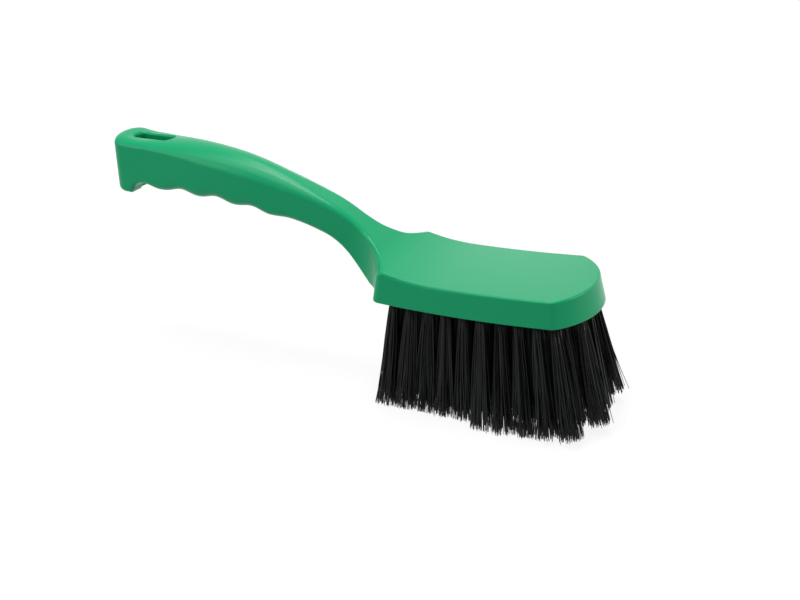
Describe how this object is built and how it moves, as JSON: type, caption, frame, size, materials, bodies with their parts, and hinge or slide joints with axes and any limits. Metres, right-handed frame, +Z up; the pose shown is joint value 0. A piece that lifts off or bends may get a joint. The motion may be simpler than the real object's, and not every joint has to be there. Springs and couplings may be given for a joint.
{
  "type": "hand brush",
  "caption": "Hand brush for sweeping: a moulded plastic body with a hooked handle and a hanging slot, and tufts of black bristle under its flared head.",
  "frame": {"origin": "the middle of the floor that the brush covers when it stands on its bristle tips", "axes": "+X from the handle's end to the nose, +Y to the left, +Z up out of the head's top"},
  "size_m": [0.2908, 0.0764, 0.1214],
  "materials": {
    "green_plastic": "satin",
    "black_bristle": "matte"
  },
  "bodies": {
    "root": {"body": "green_plastic", "tuft_row1_01": "black_bristle", "tuft_row1_02": "black_bristle", "tuft_row1_03": "black_bristle", "tuft_row1_04": "black_bristle", "tuft_row1_05": "black_bristle", "tuft_row1_06": "black_bristle", "tuft_row1_07": "black_bristle", "tuft_row1_08": "black_bristle", "tuft_row1_09": "black_bristle", "tuft_row1_10": "black_bristle", "tuft_row2_01": "black_bristle", "tuft_row2_02": "black_bristle", "tuft_row2_03": "black_bristle", "tuft_row2_04": "black_bristle", "tuft_row2_05": "black_bristle", "tuft_row2_06": "black_bristle", "tuft_row2_07": "black_bristle", "tuft_row2_08": "black_bristle", "tuft_row2_09": "black_bristle", "tuft_row2_10": "black_bristle", "tuft_row2_11": "black_bristle", "tuft_row3_01": "black_bristle", "tuft_row3_02": "black_bristle", "tuft_row3_03": "black_bristle", "tuft_row3_04": "black_bristle", "tuft_row3_05": "black_bristle", "tuft_row3_06": "black_bristle", "tuft_row3_07": "black_bristle", "tuft_row3_08": "black_bristle", "tuft_row3_09": "black_bristle", "tuft_row3_10": "black_bristle", "tuft_row3_11": "black_bristle", "tuft_row4_01": "black_bristle", "tuft_row4_02": "black_bristle", "tuft_row4_03": "black_bristle", "tuft_row4_04": "black_bristle", "tuft_row4_05": "black_bristle", "tuft_row4_06": "black_bristle", "tuft_row4_07": "black_bristle", "tuft_row4_08": "black_bristle", "tuft_row4_09": "black_bristle", "tuft_row4_10": "black_bristle", "tuft_row4_11": "black_bristle", "tuft_row5_01": "black_bristle", "tuft_row5_02": "black_bristle", "tuft_row5_03": "black_bristle", "tuft_row5_04": "black_bristle", "tuft_row5_05": "black_bristle", "tuft_row5_06": "black_bristle", "tuft_row5_07": "black_bristle", "tuft_row5_08": "black_bristle", "tuft_row5_09": "black_bristle", "tuft_row5_10": "black_bristle"}
  },
  "joints": []
}
